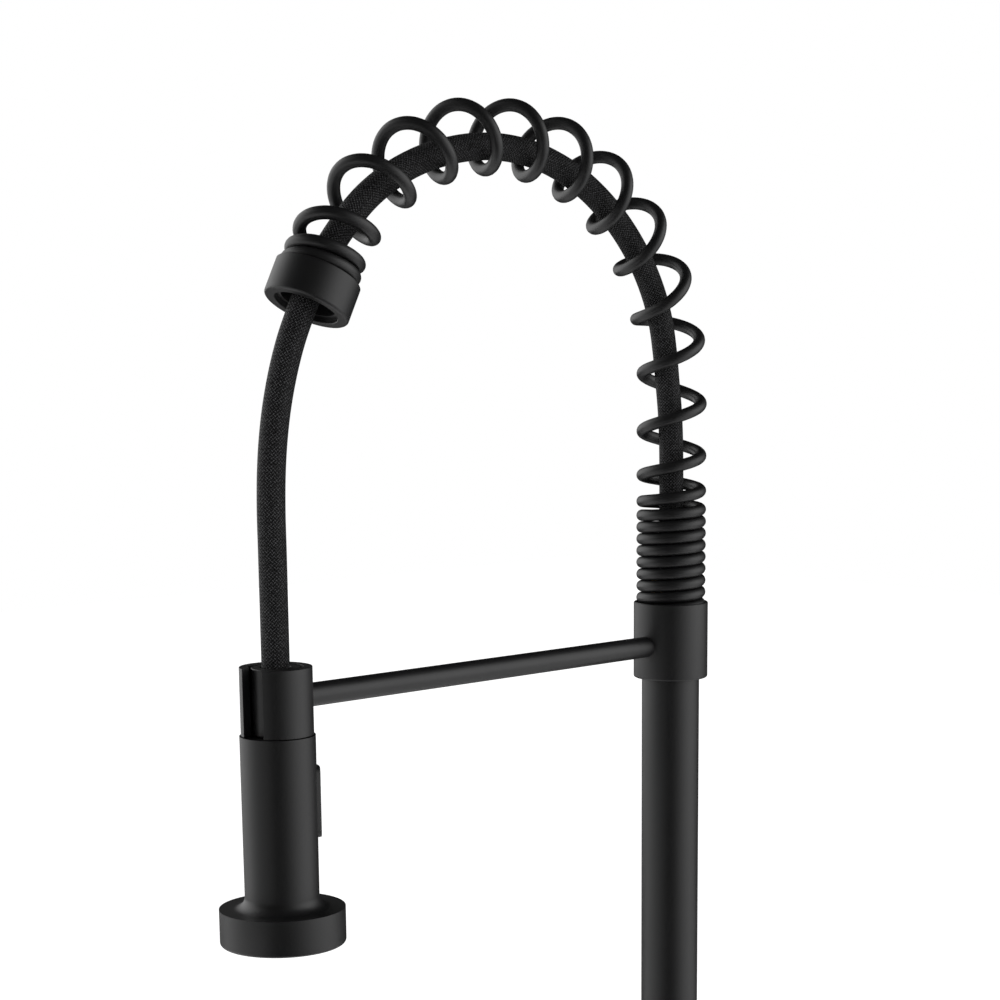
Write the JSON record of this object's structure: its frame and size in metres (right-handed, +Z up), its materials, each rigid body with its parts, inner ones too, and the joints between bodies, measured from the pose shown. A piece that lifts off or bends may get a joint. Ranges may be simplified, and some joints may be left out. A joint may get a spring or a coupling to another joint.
{
  "type": "pre rinse faucet",
  "caption": "Deck-mounted kitchen mixer with side lever, tall riser, open coil spring arched over a braided hose, and a pull-down spray head held in a side dock.",
  "frame": {"origin": "the riser's axis where it meets the top of the deck, on the underside of the base flange", "axes": "+Z up along the riser, -Y from the riser toward the docked spray head, +X along the side lever"},
  "size_m": [0.2005, 0.2963, 0.7217],
  "materials": {
    "black_coat": "matte black powder coat over brass and steel",
    "black_plastic": "matte moulded",
    "rubber": "moulded",
    "brass": "turned",
    "steel": "plain",
    "white_plastic": "moulded",
    "grey_plastic": "moulded",
    "ceramic": "lapped",
    "braid": "black nylon braid"
  },
  "bodies": {
    "base": {"base_flange": "black_coat", "flange_seal": "rubber", "threaded_shank": "brass", "deck_washer_rubber": "rubber", "deck_washer_steel": "steel", "mounting_nut": "brass", "jack_screw_left": "steel", "jack_screw_right": "steel", "valve_body": "black_coat", "swivel_lock_screw": "steel", "slip_ring": "white_plastic", "cartridge_base": "white_plastic", "port_seal": "rubber", "fixed_disc": "ceramic", "cartridge_shell": "white_plastic", "cartridge_nut": "brass", "bonnet": "black_coat"},
    "carrier": {"stem_carrier": "grey_plastic", "stem_pin": "steel"},
    "lever": {"lever_stem": "steel", "handle_hub": "black_coat", "hub_screw": "steel", "hub_plug": "grey_plastic", "lever_rod": "black_coat"},
    "disc": {"moving_disc": "ceramic", "disc_slider": "grey_plastic"},
    "spout": {"swivel_spigot": "brass", "spigot_o_ring_lower": "rubber", "spigot_o_ring_upper": "rubber", "riser_tube": "black_coat", "collar": "black_coat", "collar_screw": "steel", "arm_rod": "black_coat", "dock_sleeve": "black_coat", "riser_adapter": "brass", "upper_hose_washer": "rubber", "upper_ferrule": "steel", "upper_hose_nut": "brass", "spring": "black_coat", "spring_end_ring": "black_coat", "hose": "braid"},
    "hose_end": {"lower_ferrule": "steel", "lower_hose_washer": "rubber"},
    "head": {"head_neck": "black_coat", "neck_nut": "brass", "inlet_screen": "steel", "neck_seal": "rubber", "head_shell": "black_coat", "toggle_pin": "steel", "plunger_seal": "rubber", "water_core": "white_plastic", "check_valve": "grey_plastic", "face_ring": "black_plastic", "nozzle_mat": "rubber", "aerator_housing": "grey_plastic", "aerator_screen": "steel"},
    "button": {"toggle_button": "black_plastic"},
    "plunger": {"diverter_plunger": "steel"}
  },
  "joints": [
    {"name": "spout_swivel", "type": "hinge", "parent": "base", "child": "spout", "pos_m": [0, 0, 0], "axis": [0, 0, 1], "continuous": true},
    {"name": "handle_turn", "type": "hinge", "parent": "base", "child": "carrier", "pos_m": [0, 0, 0.076], "axis": [1, 0, 0], "range_deg": [-45, 45]},
    {"name": "handle_lift", "type": "hinge", "parent": "carrier", "child": "lever", "pos_m": [0.034, 0, 0.076], "axis": [0, -1, 0], "range_deg": [0, 20]},
    {"name": "disc_slide", "type": "slide", "parent": "carrier", "child": "disc", "axis": [0, 0, -1], "range_m": [0, 0.0034]},
    {"name": "head_pull", "type": "slide", "parent": "spout", "child": "hose_end", "axis": [0, 0, -1], "range_m": [0, 0.06], "stiffness_N_per_m": 160, "springref_m": -0.05, "deforming": ["hose"]},
    {"name": "head_swivel", "type": "hinge", "parent": "hose_end", "child": "head", "pos_m": [0, -0.242, 0.412], "axis": [0, 0, 1], "continuous": true},
    {"name": "button_rock", "type": "hinge", "parent": "head", "child": "button", "pos_m": [0.00269, -0.23195, 0.3682], "axis": [-0.9659, 0.2588, 0], "range_deg": [-4, 4]},
    {"name": "plunger_slide", "type": "slide", "parent": "head", "child": "plunger", "axis": [-0.2588, -0.9659, 0], "range_m": [-0.00069, 0.00069]}
  ],
  "couplings": [
    {"joint": "disc_slide", "follows": "handle_lift", "m_per_rad": 0.00948},
    {"joint": "button_rock", "follows": "plunger_slide", "rad_per_m": 100}
  ]
}
